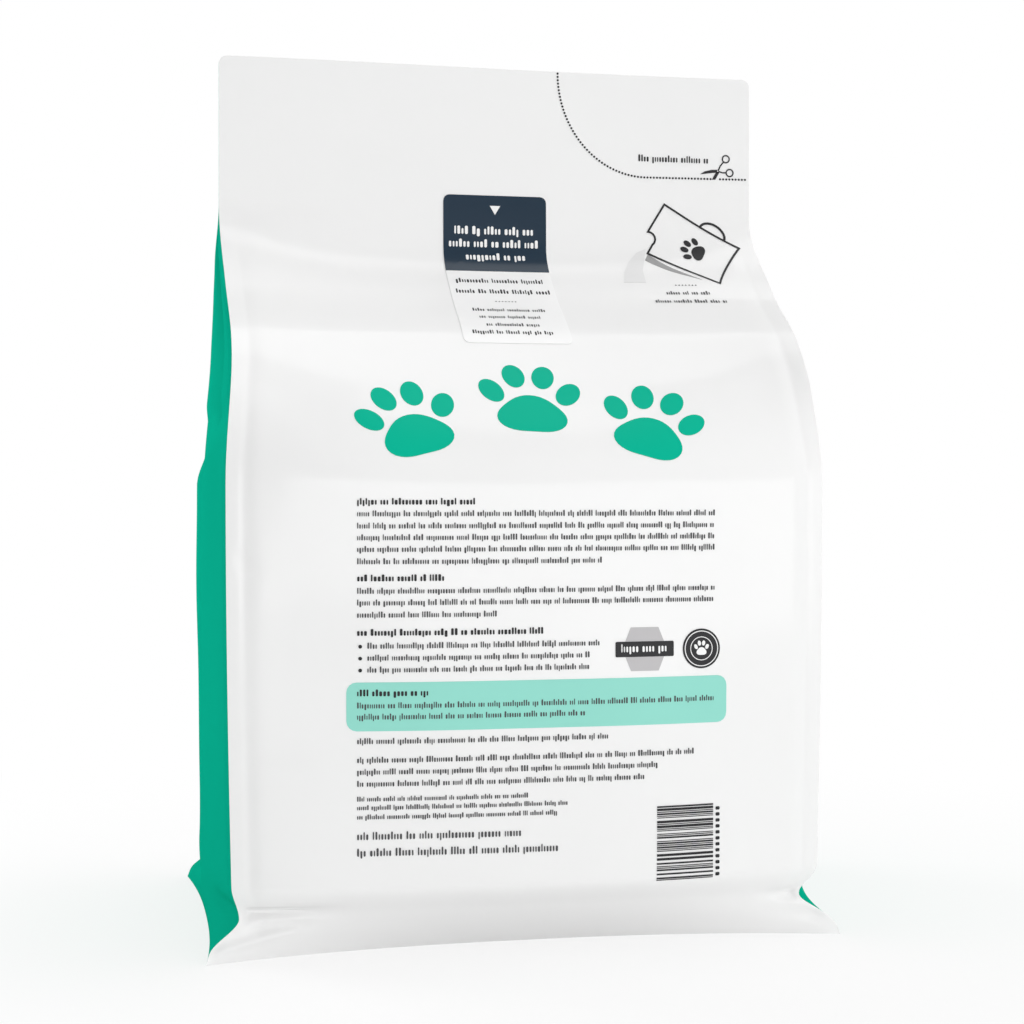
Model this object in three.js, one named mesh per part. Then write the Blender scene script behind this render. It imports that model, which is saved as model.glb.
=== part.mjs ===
// A filled cat litter bag: a side-gusset pouch of film with a flat bottom and a flat sealed top.
// Millimetres, +Z up, origin at the middle of the base. The printed panel faces -Y.
import * as THREE from 'three';

// Overall sizes
const HEIGHT = 375;
const TOP_WIDTH = 242;
const TOP_CORNER_RADIUS = 3.5;
const FILM_STACK = 1.2;

// Flat band at the top, measured down from the top edge
const SEAL_BAND = 64;

// Filled body, measured between the four long edges
const BODY_WIDTH = 247;
const BODY_LOW_WIDTH = 243;
const BODY_DEPTH = 176;
const BODY_LOW = 30;
const BODY_HIGH = 188;
const PANEL_CROWN = 12;
const GUSSET_CROWN = 6;

// Shoulder, where the body closes to the flat band: drops are below that band
const SHOULDER_WIDTH = 240;
const SLOPE_DROP = 39;
const SLOPE_DEPTH = 74;
const BROW_DROP = 62;
const BROW_DEPTH = 136;
const EAVE_DROP = 82;
const EAVE_DEPTH = 162;
const SHOULDER_HOLLOW = 17;
const BAND_EASE = 6;

// Gusset folded inwards under the flat band
const FOLD_START = 213;
const FOLD_LEDGE = 14;
const LEDGE_CROWN = 1.5;
const GUSSET_TUCK = 58;
const GUSSET_LOBE = 4;
const FOLD_CLOSING = 26;

// Foot: pinched edges above the ears of the bottom seal
const FOOT_WIDTH = 263;
const FOOT_DEPTH = 178;
const EAR_RIM = 4.5;
const EAR_TAPER = 1.6;
const PINCH_HEIGHT = 16.5;
const PINCH_IN = 3.2;
const PINCH_BACK = 4;
const FLOOR_PANEL_TUCK = 17;
const FLOOR_GUSSET_TUCK = 4.5;
const FLOOR_ROUND = 18;

// Reseal sticker on the printed panel
const STICKER_WIDTH = 47;
const STICKER_LENGTH = 94;
const STICKER_RADIUS = 2.8;
const STICKER_THICKNESS = 0.3;
const STICKER_GAP = 0.3;
const STICKER_BELOW_TOP = 57;
const STICKER_OFF_CENTRE = 1.5;

// How full the curves are: 2 is a parabola, more is flatter with tighter ends
const PANEL_FULLNESS = 2.4;
const GUSSET_FULLNESS = 2.4;
const FOLD_SHARPNESS = 2.5;

// Facets
const PANEL_STEPS = 20;
const GUSSET_STEPS = 12;
const CORNER_STEPS = 4;
const BAND_STEPS = 2;
const SHOULDER_STEPS = 24;
const LEDGE_STEPS = 3;
const BODY_STEPS = 5;
const FOOT_STEPS = 12;
const STICKER_COLUMNS = 8;
const STICKER_ROWS = 20;

const bandBottom = HEIGHT - SEAL_BAND;

// Heights and values of one profile become a smooth curve that never overshoots its points
function profile(points) {
  const knots = [...points].sort((a, b) => a[0] - b[0]);
  const slopes = knots.slice(1).map(([z, value], i) => (value - knots[i][1]) / (z - knots[i][0]));
  const tangents = knots.map((_, i) => {
    const before = slopes[i - 1] ?? slopes[i];
    const after = slopes[i] ?? slopes[i - 1];
    return before * after <= 0 ? 0 : (2 * before * after) / (before + after);
  });
  return (z) => {
    if (z <= knots[0][0]) return knots[0][1];
    const above = knots.findIndex(([height]) => height >= z);
    if (above < 0) return knots[knots.length - 1][1];
    const [z0, v0] = knots[above - 1];
    const [z1, v1] = knots[above];
    const span = z1 - z0;
    const t = (z - z0) / span;
    const s = 1 - t;
    return v0 * (1 + 2 * t) * s * s + v1 * t * t * (3 - 2 * t)
      + span * t * s * (tangents[above - 1] * s - tangents[above] * t);
  };
}

// Half-width and half-depth of the four long edges
const edgeWidth = profile([
  [0, FOOT_WIDTH / 2],
  [EAR_RIM, FOOT_WIDTH / 2 - EAR_TAPER],
  [PINCH_HEIGHT, BODY_LOW_WIDTH / 2 - PINCH_IN],
  [BODY_LOW, BODY_LOW_WIDTH / 2],
  [BODY_HIGH, BODY_WIDTH / 2],
  [bandBottom - BROW_DROP, SHOULDER_WIDTH / 2],
  [bandBottom, TOP_WIDTH / 2],
  [HEIGHT, TOP_WIDTH / 2],
]);
const edgeDepth = profile([
  [0, FOOT_DEPTH / 2],
  [PINCH_HEIGHT, BODY_DEPTH / 2 - PINCH_BACK],
  [BODY_LOW, BODY_DEPTH / 2],
  [BODY_HIGH, BODY_DEPTH / 2],
  [bandBottom - EAVE_DROP, EAVE_DEPTH / 2],
  [bandBottom - BROW_DROP, BROW_DEPTH / 2],
  [bandBottom - SLOPE_DROP, SLOPE_DEPTH / 2],
  [bandBottom, FILM_STACK / 2],
  [HEIGHT, FILM_STACK / 2],
]);

// How far the middle of each panel stands out past its edges, or lies back from them
const panelCrown = profile([
  [0, -FLOOR_PANEL_TUCK],
  [FLOOR_ROUND, PANEL_CROWN / 2],
  [BODY_LOW, PANEL_CROWN],
  [BODY_HIGH, PANEL_CROWN],
  [bandBottom - BROW_DROP, -SHOULDER_HOLLOW],
  [bandBottom - SLOPE_DROP, -SHOULDER_HOLLOW],
  [bandBottom, 0],
]);
const gussetMiddle = profile([
  [0, FOOT_WIDTH / 2 - FLOOR_GUSSET_TUCK],
  [BODY_LOW, BODY_WIDTH / 2 + GUSSET_CROWN],
  [BODY_HIGH, BODY_WIDTH / 2 + GUSSET_CROWN],
  [FOLD_START, SHOULDER_WIDTH / 2 + LEDGE_CROWN],
  [bandBottom, TOP_WIDTH / 2 + LEDGE_CROWN],
]);

// The top corners are rounded, so the edges draw in over the last few millimetres
function cornerInset(z) {
  const rise = Math.max(0, z - (HEIGHT - TOP_CORNER_RADIUS));
  return TOP_CORNER_RADIUS - Math.sqrt(Math.max(0, TOP_CORNER_RADIUS ** 2 - rise ** 2));
}

// Each panel's middle eases out of the flat band, so the two panels never cross
function panelDepth(z, across) {
  const edge = edgeDepth(z);
  const opening = Math.max(0, edge + panelCrown(z) - FILM_STACK / 2);
  const middle = FILM_STACK / 2 + opening * (1 - Math.exp(-opening / BAND_EASE));
  return middle + (edge - middle) * Math.abs(across) ** PANEL_FULLNESS;
}

// Where the gusset lies: across runs from 0 in its middle to 1 at a long edge
function gussetWidth(z, across) {
  const edge = edgeWidth(z) - cornerInset(z);
  if (z >= bandBottom) return edge;
  const full = gussetMiddle(z) + (edge - gussetMiddle(z)) * across ** GUSSET_FULLNESS;
  const rise = THREE.MathUtils.clamp((z - FOLD_START) / (bandBottom - FOLD_START), 0, 1);
  const open = THREE.MathUtils.smoothstep(z, FOLD_START, FOLD_START + FOLD_LEDGE);
  const closing = THREE.MathUtils.smoothstep(bandBottom - z, 0, FOLD_CLOSING);
  const tuck = GUSSET_TUCK * Math.sqrt(rise) * closing;
  const lobe = GUSSET_LOBE * closing * Math.sin(Math.PI * across);
  const folded = edge + lobe - tuck * (1 - across) ** FOLD_SHARPNESS;
  return THREE.MathUtils.lerp(full, folded, open);
}

// One closed section, anticlockwise from above, starting at the printed panel's left edge
function section(z) {
  const points = [];
  const width = edgeWidth(z) - cornerInset(z);
  const depth = edgeDepth(z);
  for (let i = 0; i < PANEL_STEPS; i += 1) {
    const across = (2 * i) / PANEL_STEPS - 1;
    points.push(new THREE.Vector3(across * width, -panelDepth(z, across), z));
  }
  for (let i = 0; i < GUSSET_STEPS; i += 1) {
    const across = (2 * i) / GUSSET_STEPS - 1;
    points.push(new THREE.Vector3(gussetWidth(z, Math.abs(across)), across * depth, z));
  }
  const halfTurn = points.map((point) => new THREE.Vector3(-point.x, -point.y, z));
  return [...points, ...halfTurn];
}

// Heights of the sections: each stretch is cut into equal steps
function sectionHeights() {
  const stretches = [
    [0, BODY_LOW, FOOT_STEPS],
    [BODY_LOW, BODY_HIGH, BODY_STEPS],
    [BODY_HIGH, FOLD_START, LEDGE_STEPS],
    [FOLD_START, bandBottom, SHOULDER_STEPS],
    [bandBottom, HEIGHT - TOP_CORNER_RADIUS, BAND_STEPS],
  ];
  const heights = stretches.flatMap(([low, high, steps]) =>
    Array.from({ length: steps }, (_, i) => low + ((high - low) * i) / steps));
  for (let i = 0; i <= CORNER_STEPS; i += 1) {
    const turn = (Math.PI / 2) * (i / CORNER_STEPS);
    heights.push(HEIGHT - TOP_CORNER_RADIUS * (1 - Math.sin(turn)));
  }
  return heights;
}

function solidFrom(vertices, triangles) {
  const geometry = new THREE.BufferGeometry();
  geometry.setFromPoints(vertices);
  geometry.setIndex(triangles);
  geometry.computeVertexNormals();
  return geometry;
}

// Closed rings stacked upwards, with a flat cap at each end
function loft(rings) {
  const count = rings[0].length;
  const triangles = [];
  for (let ring = 0; ring + 1 < rings.length; ring += 1) {
    for (let i = 0; i < count; i += 1) {
      const next = (i + 1) % count;
      const [a, b] = [ring * count + i, ring * count + next];
      triangles.push(a, b, b + count, a, b + count, a + count);
    }
  }
  const flat = (ring) => ring.map((point) => new THREE.Vector2(point.x, point.y));
  const top = (rings.length - 1) * count;
  for (const [a, b, c] of THREE.ShapeUtils.triangulateShape(flat(rings[0]), [])) {
    triangles.push(c, b, a);
  }
  for (const [a, b, c] of THREE.ShapeUtils.triangulateShape(flat(rings[rings.length - 1]), [])) {
    triangles.push(top + a, top + b, top + c);
  }
  return solidFrom(rings.flat(), triangles);
}

// A point of the printed panel, lifted off it along its normal
function printedPanelPoint(x, z, lift) {
  const place = (px, pz) => new THREE.Vector3(px, -panelDepth(pz, px / edgeWidth(pz)), pz);
  const reach = 0.5;
  const along = place(x + reach, z).sub(place(x - reach, z));
  const up = place(x, z + reach).sub(place(x, z - reach));
  return place(x, z).addScaledVector(along.cross(up).normalize(), lift);
}

// Height reached after going a length down the middle of the printed panel
function heightBelow(start, length) {
  const step = 0.25;
  let z = start;
  let gone = 0;
  while (gone < length) {
    gone += Math.hypot(step, panelDepth(z - step, 0) - panelDepth(z, 0));
    z -= step;
  }
  return z + (gone - length);
}

// The sticker is a thin sheet with rounded corners that follows the panel
function sticker() {
  const top = HEIGHT - STICKER_BELOW_TOP;
  const columns = STICKER_COLUMNS + 1;
  const rows = STICKER_ROWS + 1;
  const layer = columns * rows;
  const vertices = [];
  for (const lift of [STICKER_GAP, STICKER_GAP + STICKER_THICKNESS]) {
    for (let row = 0; row < rows; row += 1) {
      const down = (STICKER_LENGTH / 2) * (1 - Math.cos((Math.PI * row) / STICKER_ROWS));
      const fromEnd = Math.min(down, STICKER_LENGTH - down);
      const short = Math.max(0, STICKER_RADIUS - fromEnd);
      const halfWidth = STICKER_WIDTH / 2 - STICKER_RADIUS + Math.sqrt(STICKER_RADIUS ** 2 - short ** 2);
      const z = heightBelow(top, down);
      for (let column = 0; column < columns; column += 1) {
        const across = (2 * column) / STICKER_COLUMNS - 1;
        vertices.push(printedPanelPoint(STICKER_OFF_CENTRE + across * halfWidth, z, lift));
      }
    }
  }
  const triangles = [];
  for (let row = 0; row < STICKER_ROWS; row += 1) {
    for (let column = 0; column < STICKER_COLUMNS; column += 1) {
      const a = row * columns + column;
      const [b, c, d] = [a + 1, a + columns + 1, a + columns];
      triangles.push(a, b, c, a, c, d);
      triangles.push(layer + a, layer + c, layer + b, layer + a, layer + d, layer + c);
    }
  }
  const rim = [];
  for (let column = 0; column < STICKER_COLUMNS; column += 1) rim.push(column);
  for (let row = 0; row < STICKER_ROWS; row += 1) rim.push(row * columns + STICKER_COLUMNS);
  for (let column = STICKER_COLUMNS; column > 0; column -= 1) rim.push(STICKER_ROWS * columns + column);
  for (let row = STICKER_ROWS; row > 0; row -= 1) rim.push(row * columns);
  rim.forEach((a, i) => {
    const b = rim[(i + 1) % rim.length];
    triangles.push(a, layer + b, b, a, layer + a, layer + b);
  });
  return solidFrom(vertices, triangles);
}

function piece(name, geometry, color, roughness) {
  const mesh = new THREE.Mesh(geometry, new THREE.MeshStandardMaterial({ color, roughness, metalness: 0 }));
  mesh.name = name;
  return mesh;
}

const bag = new THREE.Group();
bag.add(piece('bag', loft(sectionHeights().map(section)), 0xf2f2f1, 0.28));
bag.add(piece('reseal_sticker', sticker(), 0x34434f, 0.42));

export default bag;
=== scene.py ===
"""The looks of a filled cat litter bag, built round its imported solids.

The film, its folds and seams, the print and the reseal sticker are modelled here in millimetres
and turned into metres when a mesh is made. The printed panel faces -Y, and +Z is up.
"""

import math
import random

import bmesh
import bpy
import numpy as np
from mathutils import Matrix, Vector


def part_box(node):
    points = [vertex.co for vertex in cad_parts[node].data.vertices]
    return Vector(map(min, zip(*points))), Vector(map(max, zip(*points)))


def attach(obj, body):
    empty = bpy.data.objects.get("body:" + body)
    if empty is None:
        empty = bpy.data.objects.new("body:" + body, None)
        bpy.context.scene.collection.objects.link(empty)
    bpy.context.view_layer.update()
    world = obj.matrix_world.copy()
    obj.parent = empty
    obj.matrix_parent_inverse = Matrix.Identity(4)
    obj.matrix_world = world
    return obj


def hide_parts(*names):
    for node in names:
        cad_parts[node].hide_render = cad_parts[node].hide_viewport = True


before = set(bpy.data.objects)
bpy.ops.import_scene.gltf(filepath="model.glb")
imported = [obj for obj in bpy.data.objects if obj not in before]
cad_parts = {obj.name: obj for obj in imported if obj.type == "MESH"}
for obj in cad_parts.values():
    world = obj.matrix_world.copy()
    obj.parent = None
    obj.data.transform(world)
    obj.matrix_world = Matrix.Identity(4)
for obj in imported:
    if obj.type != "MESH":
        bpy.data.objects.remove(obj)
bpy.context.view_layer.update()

MM = 0.001
PRINTED, PLAIN = -1, 1
LEFT, RIGHT = -1, 1

# Sizes of the bag, taken from its solid
bag_low, bag_high = (np.array(corner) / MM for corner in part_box("bag"))
HEIGHT = bag_high[2]
FOOT_WIDTH = bag_high[0] - bag_low[0]
PANEL_CROWN = 12
BODY_DEPTH = bag_high[1] - bag_low[1] - 2 * PANEL_CROWN

# Flat band at the top
TOP_WIDTH = 242
TOP_CORNER_RADIUS = 3.5
FILM_STACK = 1.2
SEAL_BAND = 64
BAND_BOTTOM = HEIGHT - SEAL_BAND

# Filled body
BODY_WIDTH = 247
BODY_LOW_WIDTH = 243
BODY_LOW = 30
BODY_HIGH = 188
GUSSET_CROWN = 6

# Shoulder: drops are below the flat band
SHOULDER_WIDTH = 240
SLOPE_DROP = 39
SLOPE_DEPTH = 74
BROW_DROP = 62
BROW_DEPTH = 136
EAVE_DROP = 82
EAVE_DEPTH = 162
SHOULDER_HOLLOW = 17
BAND_EASE = 6

# Gusset folded inwards under the flat band
FOLD_START = 213
FOLD_LEDGE = 14
LEDGE_CROWN = 1.5
GUSSET_TUCK = 58
GUSSET_LOBE = 4
FOLD_CLOSING = 26

# Foot: pinched edges above the ears of the bottom seal
FOOT_DEPTH = 178
EAR_RIM = 4.5
EAR_TAPER = 1.6
PINCH_HEIGHT = 16.5
PINCH_IN = 3.2
PINCH_BACK = 4
FLOOR_PANEL_TUCK = 17
FLOOR_GUSSET_TUCK = 4.5
FLOOR_ROUND = 18

# How full the curves are
PANEL_FULLNESS = 2.4
GUSSET_FULLNESS = 2.4
FOLD_SHARPNESS = 2.5

# Edge seals that run down the four long edges
EDGE_SEAL = 7
EDGE_SEAL_STEP = 0.8
EDGE_SEAL_ROUND = 6
EDGE_SEAL_GROOVE = 0.3
EDGE_SEAL_GROOVE_WIDTH = 1.2
GUSSET_GROOVE = 1.0
GUSSET_GROOVE_PLACE = 3.5
GUSSET_GROOVE_WIDTH = 1.6
GUSSET_CREASE = 0.7
GUSSET_CREASE_WIDTH = 2.5

# Reseal sticker on the printed panel, placed as its solid is
STICKER_WIDTH = 47
STICKER_LENGTH = 94
STICKER_RADIUS = 2.8
STICKER_BELOW_TOP = 57
STICKER_OFF_CENTRE = 1.5
STICKER_DARK_LENGTH = 36.7

# Mesh density
PANEL_COLUMNS = 96
GUSSET_HALF_COLUMNS = 30
EDGE_CROWDING = 0.85
CREASE_CROWDING = 0.75
CORNER_RINGS = 6
SHARP_ANGLE = math.radians(42)
# (from height, to height, step)
RING_STEPS = (
    (0, 36, 0.9),
    (36, 198, 3.0),
    (198, 232, 1.1),
    (232, BAND_BOTTOM + 6, 1.3),
    (BAND_BOTTOM + 6, HEIGHT - TOP_CORNER_RADIUS, 4.0),
)


def profile(*points):
    """A smooth curve through (height, value) points that never overshoots them."""
    knots = np.array(sorted(points), float)
    heights, values = knots.T
    slopes = np.diff(values) / np.diff(heights)
    before = np.concatenate([slopes[:1], slopes])
    after = np.concatenate([slopes, slopes[-1:]])
    turning = before * after <= 0
    total = np.where(turning, 1, before + after)
    tangents = np.where(turning, 0, 2 * before * after / total)

    def value(z):
        z = np.clip(z, heights[0], heights[-1])
        i = np.clip(np.searchsorted(heights, z) - 1, 0, len(heights) - 2)
        span = heights[i + 1] - heights[i]
        t = (z - heights[i]) / span
        s = 1 - t
        bend = span * t * s * (tangents[i] * s - tangents[i + 1] * t)
        return values[i] * (1 + 2 * t) * s * s + values[i + 1] * t * t * (3 - 2 * t) + bend

    return value


def smoothstep(value, low, high):
    t = np.clip((value - low) / (high - low), 0, 1)
    return t * t * (3 - 2 * t)


edge_width = profile(
    (0, FOOT_WIDTH / 2),
    (EAR_RIM, FOOT_WIDTH / 2 - EAR_TAPER),
    (PINCH_HEIGHT, BODY_LOW_WIDTH / 2 - PINCH_IN),
    (BODY_LOW, BODY_LOW_WIDTH / 2),
    (BODY_HIGH, BODY_WIDTH / 2),
    (BAND_BOTTOM - BROW_DROP, SHOULDER_WIDTH / 2),
    (BAND_BOTTOM, TOP_WIDTH / 2),
    (HEIGHT, TOP_WIDTH / 2),
)
edge_depth = profile(
    (0, FOOT_DEPTH / 2),
    (PINCH_HEIGHT, BODY_DEPTH / 2 - PINCH_BACK),
    (BODY_LOW, BODY_DEPTH / 2),
    (BODY_HIGH, BODY_DEPTH / 2),
    (BAND_BOTTOM - EAVE_DROP, EAVE_DEPTH / 2),
    (BAND_BOTTOM - BROW_DROP, BROW_DEPTH / 2),
    (BAND_BOTTOM - SLOPE_DROP, SLOPE_DEPTH / 2),
    (BAND_BOTTOM, FILM_STACK / 2),
    (HEIGHT, FILM_STACK / 2),
)
panel_crown = profile(
    (0, -FLOOR_PANEL_TUCK),
    (FLOOR_ROUND, PANEL_CROWN / 2),
    (BODY_LOW, PANEL_CROWN),
    (BODY_HIGH, PANEL_CROWN),
    (BAND_BOTTOM - BROW_DROP, -SHOULDER_HOLLOW),
    (BAND_BOTTOM - SLOPE_DROP, -SHOULDER_HOLLOW),
    (BAND_BOTTOM, 0),
)
gusset_middle = profile(
    (0, FOOT_WIDTH / 2 - FLOOR_GUSSET_TUCK),
    (BODY_LOW, BODY_WIDTH / 2 + GUSSET_CROWN),
    (BODY_HIGH, BODY_WIDTH / 2 + GUSSET_CROWN),
    (FOLD_START, SHOULDER_WIDTH / 2 + LEDGE_CROWN),
    (BAND_BOTTOM, TOP_WIDTH / 2 + LEDGE_CROWN),
)


def panel_depth(z, across):
    edge = edge_depth(z)
    opening = np.maximum(0, edge + panel_crown(z) - FILM_STACK / 2)
    middle = FILM_STACK / 2 + opening * (1 - np.exp(-opening / BAND_EASE))
    return middle + (edge - middle) * np.abs(across) ** PANEL_FULLNESS


def corner_inset(z):
    """How far the rounded top corners draw the edges in."""
    rise = np.maximum(0, z - (HEIGHT - TOP_CORNER_RADIUS))
    return TOP_CORNER_RADIUS - np.sqrt(np.maximum(0, TOP_CORNER_RADIUS**2 - rise**2))


def gusset_width(z, across):
    """Where the gusset lies: across is 0 in its middle and 1 at a long edge."""
    edge = edge_width(z) - corner_inset(z)
    full = gusset_middle(z) + (edge - gusset_middle(z)) * across**GUSSET_FULLNESS
    rise = np.clip((z - FOLD_START) / (BAND_BOTTOM - FOLD_START), 0, 1)
    open_fold = smoothstep(z, FOLD_START, FOLD_START + FOLD_LEDGE)
    closing = smoothstep(BAND_BOTTOM - z, 0, FOLD_CLOSING)
    tuck = GUSSET_TUCK * np.sqrt(rise) * closing
    lobe = GUSSET_LOBE * closing * np.sin(np.pi * across)
    folded = edge + lobe - tuck * (1 - across) ** FOLD_SHARPNESS
    return np.where(z >= BAND_BOTTOM, edge, full + (folded - full) * open_fold)


def groove(distance, depth, width):
    return -depth * np.exp(-((distance / width) ** 2))


def crease(x, z, start, end, depth, width):
    """A dent along a line in the film: deepest in its first half, fading out at its far end."""
    line = np.subtract(end, start)
    length = math.hypot(*line)
    along = ((x - start[0]) * line[0] + (z - start[1]) * line[1]) / length**2
    aside = ((x - start[0]) * line[1] - (z - start[1]) * line[0]) / length
    inside = smoothstep(along, -0.08, 0.06) * (1 - smoothstep(along, 0.35, 1.0))
    return groove(aside, depth, width) * inside


# Dents in the panels: (start, end, depth, width), both ends as (x, z); a negative depth is a ridge
PRINTED_CREASES = (
    ((-121, 18.5), (-72, 19.5), 5.2, 2.3),
    ((-112, 12.5), (-82, 14.5), 2.0, 2.4),
    ((-129, 4), (-78, 15.5), -1.2, 1.8),
    ((121, 17), (92, 18), 2.4, 2.4),
    ((126, 8), (96, 10), 0.8, 2.6),
    ((-118, 78), (-84, 75), 0.35, 2.4),
    ((-119, 160), (-108, 150), 0.5, 2.6),
    ((-117, 232), (-70, 212), 0.8, 7.0),
    ((117, 236), (84, 222), 0.6, 7.0),
)
PLAIN_CREASES = (
    ((-121, 18.5), (-86, 19.5), 2.8, 3.0),
    ((121, 18), (80, 19), 3.2, 3.2),
    ((-126, 8), (-90, 11), 0.9, 2.6),
    ((126, 8), (88, 11), 0.9, 2.6),
    ((118, 120), (96, 128), 0.4, 3.0),
    ((-117, 230), (-78, 214), 0.7, 7.0),
    ((117, 233), (72, 214), 0.8, 7.0),
)
# The same near the foot of a gusset, with its own depth in place of x
GUSSET_DENT = ((86, 18.5), (52, 22), 2.4, 3.0)

# Slow waves of the film: (length across, length up, phase, height)
FILM_WAVES = (
    (190, 260, 0.4, 0.45),
    (-120, 150, 1.9, 0.28),
    (75, 210, 3.1, 0.16),
    (-260, 64, 5.2, 0.14),
)
GUSSET_WAVE_TURN = 2.2
GUSSET_WAVE_SHARE = 0.8

# Right gusset: flatter at the shoulder, nipped in at the front edge just above the foot
RIGHT_LOBE_LOSS = 3.2
NIP_HEIGHT = 17.5
NIP_IN = 3.4
NIP_REACH = 8
NIP_TALL = 6
NIP_SWELL = 0.4
NIP_BEHIND = 13
NIP_CORNER = (edge_width(NIP_HEIGHT) - corner_inset(NIP_HEIGHT), -edge_depth(NIP_HEIGHT))

# Lean of the flat band
BAND_SWAY = 1.6
BAND_SWAY_LENGTH = 310
BAND_SWAY_PHASE = 0.5
BAND_SWAY_START = 12


def film_waves(a, z, turn):
    return sum(
        height * np.sin(2 * np.pi * (a / across + z / up) + phase + turn)
        for across, up, phase, height in FILM_WAVES
    )


def panel_relief(x, z, side):
    """What the film of a panel adds to its plain form, outwards."""
    from_edge = np.maximum(0, edge_width(z) - np.abs(x))
    filled = smoothstep(panel_depth(z, x / edge_width(z)), 3, 22)
    above_foot = smoothstep(z, 12, BODY_LOW)
    relief = EDGE_SEAL_STEP * smoothstep(from_edge, EDGE_SEAL, EDGE_SEAL + EDGE_SEAL_ROUND)
    relief += groove(from_edge - EDGE_SEAL, EDGE_SEAL_GROOVE, EDGE_SEAL_GROOVE_WIDTH)
    relief *= filled * above_foot
    away_from_edge = smoothstep(from_edge, 2, 26)
    relief += film_waves(x, z, side) * filled * away_from_edge * smoothstep(z, 4, 40)
    for start, end, depth, width in PRINTED_CREASES if side == PRINTED else PLAIN_CREASES:
        relief += crease(x, z, start, end, depth, width) * smoothstep(from_edge, 0, 5)
    return relief


def band_sway(x, z):
    """The flat band isn't quite flat: both panels lean the same way there."""
    rise = smoothstep(z, BAND_BOTTOM - BAND_SWAY_START, HEIGHT)
    return BAND_SWAY * rise * np.sin(2 * np.pi * x / BAND_SWAY_LENGTH + BAND_SWAY_PHASE)


def panel_point(x, z, side=PRINTED):
    depth = panel_depth(z, x / edge_width(z)) + panel_relief(x, z, side)
    return np.stack([x, side * depth + band_sway(x, z), z], -1)


def gusset_relief(across, z):
    from_edge = edge_depth(z) * (1 - np.abs(across))
    filled = smoothstep(edge_depth(z), 10, 60)
    above_foot = smoothstep(z, 14, BODY_LOW + 6)
    below_fold = 1 - smoothstep(z, FOLD_START - 25, FOLD_START)
    relief = groove(from_edge - GUSSET_GROOVE_PLACE, GUSSET_GROOVE, GUSSET_GROOVE_WIDTH)
    relief = relief * filled * above_foot
    y = across * edge_depth(z)
    relief += groove(y, GUSSET_CREASE, GUSSET_CREASE_WIDTH) * below_fold * above_foot
    away_from_edge = smoothstep(from_edge, 2, 20)
    waves = film_waves(y, z, GUSSET_WAVE_TURN) * GUSSET_WAVE_SHARE
    relief += waves * away_from_edge * below_fold * above_foot
    for sign in (-1, 1):
        relief += crease(sign * y, z, *GUSSET_DENT) * smoothstep(from_edge, 0, 5)
    return relief


def right_gusset_relief(across, z):
    """The right gusset lies flatter at the shoulder and swells behind the nip at the foot."""
    closing = smoothstep(BAND_BOTTOM - z, 0, FOLD_CLOSING)
    folded = smoothstep(z, FOLD_START, FOLD_START + FOLD_LEDGE)
    flatter = RIGHT_LOBE_LOSS * np.sin(np.pi * np.abs(across)) * closing * folded
    from_front = edge_depth(z) * (1 + across)
    behind = (from_front - NIP_BEHIND) / NIP_REACH
    above = (z - NIP_HEIGHT) / NIP_REACH
    swell = NIP_SWELL * np.exp(-(behind**2) - above**2)
    return swell - flatter


def nip(points):
    """Draw the film in at the right front edge, just above the ear."""
    centre = np.array([NIP_CORNER[0], NIP_CORNER[1], NIP_HEIGHT])
    spread = np.array([NIP_REACH, NIP_REACH, NIP_TALL])
    pull = np.exp(-(((points - centre) / spread) ** 2).sum(-1))
    return points - pull[..., None] * np.array([NIP_IN, 0, 0])


def gusset_point(across, z, side):
    width = gusset_width(z, np.abs(across)) + gusset_relief(across, z)
    if side == RIGHT:
        width = width + right_gusset_relief(across, z)
    y = across * edge_depth(z)
    return np.stack([side * width, y + band_sway(side * width, z), z], -1)


# The printed panel's own ruler: distances down its middle from the top edge
ruler_heights = np.linspace(HEIGHT, 0, 1500)
ruler = np.concatenate(
    [[0], np.cumsum(np.hypot(np.diff(ruler_heights), np.diff(panel_depth(ruler_heights, 0))))]
)


def on_panel(flat, lift):
    """Points (x across, distance below the top edge) of the printed panel, lifted off the film."""
    x = flat[:, 0]
    z = np.interp(flat[:, 1], ruler, ruler_heights)
    reach = 0.4
    along = panel_point(x + reach, z) - panel_point(x - reach, z)
    up = panel_point(x, np.minimum(z + reach, HEIGHT)) - panel_point(x, np.maximum(z - reach, 0))
    normal = np.cross(along, up)
    normal /= np.linalg.norm(normal, axis=1, keepdims=True)
    return panel_point(x, z) + normal * lift


def add_object(name, vertices, faces, materials):
    """A mesh object from points in millimetres."""
    mesh = bpy.data.meshes.new(name)
    mesh.from_pydata((np.asarray(vertices) * MM).tolist(), [], faces)
    for material in materials:
        mesh.materials.append(material)
    mesh.update()
    piece = bpy.data.objects.new(name, mesh)
    bpy.context.scene.collection.objects.link(piece)
    return piece


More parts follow.
